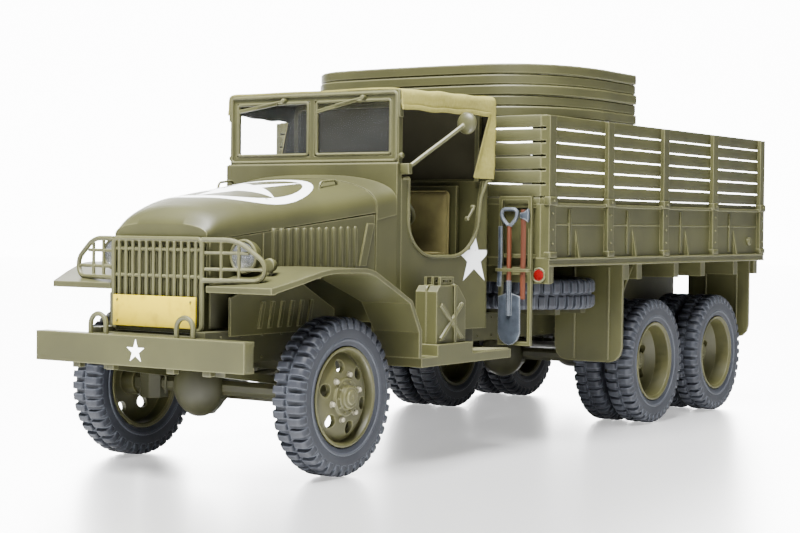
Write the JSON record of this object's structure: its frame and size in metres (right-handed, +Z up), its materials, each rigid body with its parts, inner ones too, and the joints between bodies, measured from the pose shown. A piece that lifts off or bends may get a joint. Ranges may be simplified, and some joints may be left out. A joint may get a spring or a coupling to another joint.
{
  "type": "scale model of a military cargo truck",
  "caption": "Small plastic model of an open-cab army cargo truck with a slatted bed, rolling wheels and steered front axle.",
  "frame": {"origin": "on the floor under the middle of the model's length and width", "axes": "+Z up, the front towards -Y, the truck's left side towards +X"},
  "size_m": [0.0646, 0.1824, 0.0722],
  "materials": {
    "olive_body": "satin olive drab",
    "olive_chassis": "satin olive drab",
    "olive_wheel": "satin olive drab",
    "tyre": "matt blue-grey",
    "clear_glass": "clear plastic",
    "lamp_lens": "clear plastic",
    "canvas": "tan cloth",
    "seat_canvas": "pale cloth",
    "red_reflector": "gloss red",
    "tool_steel_and_wood": "painted steel heads and brown handles"
  },
  "bodies": {
    "truck": {"front_bumper": "olive_body", "tow_shackles": "olive_body", "brush_guard": "olive_body", "hood": "olive_body", "hood_sides": "olive_body", "cowl": "olive_body", "headlamps": "olive_body", "fender_left": "olive_body", "fender_right": "olive_body", "running_boards": "olive_body", "cab_tub": "olive_body", "windscreen_frame": "olive_body", "mirror": "olive_body", "jerry_can": "olive_body", "tool_rack": "olive_body", "bed_floor": "olive_body", "bed_sides": "olive_body", "side_racks": "olive_body", "bed_front": "olive_body", "cover_hoops": "olive_body", "fuel_tank": "olive_body", "splash_guards": "olive_body", "rear_bumpers": "olive_body", "tow_hook": "olive_body", "seat_frames": "olive_body", "steering_wheel": "olive_body", "radiator": "olive_body", "frame": "olive_chassis", "bed_sills": "olive_chassis", "front_axle": "olive_chassis", "rear_axles": "olive_chassis", "leaf_springs": "olive_chassis", "drive_line": "olive_chassis", "exhaust": "olive_chassis", "spare_carrier": "olive_chassis", "engine_block": "olive_chassis", "spare_wheel": "olive_wheel", "spare_tyre": "tyre", "windscreen_glass": "clear_glass", "headlamp_lenses": "lamp_lens", "cab_canvas_top": "canvas", "seat_cushions": "seat_canvas", "reflectors": "red_reflector", "rack_tools": "tool_steel_and_wood"},
    "knuckle_left": {"knuckle_left": "olive_chassis"},
    "knuckle_right": {"knuckle_right": "olive_chassis"},
    "tie_rod": {"tie_rod": "olive_chassis"},
    "wheel_front_left": {"tyre_front_left": "tyre", "wheel_front_left": "olive_wheel"},
    "wheel_front_right": {"tyre_front_right": "tyre", "wheel_front_right": "olive_wheel"},
    "wheels_first_left": {"tyres_rear_first_left": "tyre", "wheels_rear_first_left": "olive_wheel"},
    "wheels_first_right": {"tyres_rear_first_right": "tyre", "wheels_rear_first_right": "olive_wheel"},
    "wheels_last_left": {"tyres_rear_last_left": "tyre", "wheels_rear_last_left": "olive_wheel"},
    "wheels_last_right": {"tyres_rear_last_right": "tyre", "wheels_rear_last_right": "olive_wheel"},
    "tailgate": {"tailgate": "olive_body"}
  },
  "joints": [
    {"name": "steer_left", "type": "hinge", "parent": "truck", "child": "knuckle_left", "pos_m": [0.0174, -0.0677, 0.0131], "axis": [0, 0, 1], "range_deg": [-25, 25]},
    {"name": "steer_right", "type": "hinge", "parent": "truck", "child": "knuckle_right", "pos_m": [-0.0174, -0.0677, 0.0131], "axis": [0, 0, 1], "range_deg": [-25, 25]},
    {"name": "tie_rod_pivot", "type": "hinge", "parent": "knuckle_left", "child": "tie_rod", "pos_m": [0.0174, -0.0631, 0.0136], "axis": [0, 0, 1], "range_deg": [-25, 25]},
    {"name": "spin_front_left", "type": "hinge", "parent": "knuckle_left", "child": "wheel_front_left", "pos_m": [0.0219, -0.0677, 0.0131], "axis": [1, 0, 0], "continuous": true},
    {"name": "spin_front_right", "type": "hinge", "parent": "knuckle_right", "child": "wheel_front_right", "pos_m": [-0.0219, -0.0677, 0.0131], "axis": [1, 0, 0], "continuous": true},
    {"name": "spin_first_left", "type": "hinge", "parent": "truck", "child": "wheels_first_left", "pos_m": [0.0245, 0.03485, 0.0131], "axis": [1, 0, 0], "continuous": true},
    {"name": "spin_first_right", "type": "hinge", "parent": "truck", "child": "wheels_first_right", "pos_m": [-0.0245, 0.03485, 0.0131], "axis": [1, 0, 0], "continuous": true},
    {"name": "spin_last_left", "type": "hinge", "parent": "truck", "child": "wheels_last_left", "pos_m": [0.0245, 0.06715, 0.0131], "axis": [1, 0, 0], "continuous": true},
    {"name": "spin_last_right", "type": "hinge", "parent": "truck", "child": "wheels_last_right", "pos_m": [-0.0245, 0.06715, 0.0131], "axis": [1, 0, 0], "continuous": true},
    {"name": "tailgate_hinge", "type": "hinge", "parent": "truck", "child": "tailgate", "pos_m": [0, 0.0906, 0.0356], "axis": [-1, 0, 0], "range_deg": [0, 100]}
  ],
  "couplings": [
    {"joint": "steer_right", "follows": "steer_left", "ratio": 1},
    {"joint": "tie_rod_pivot", "follows": "steer_left", "ratio": -1}
  ]
}
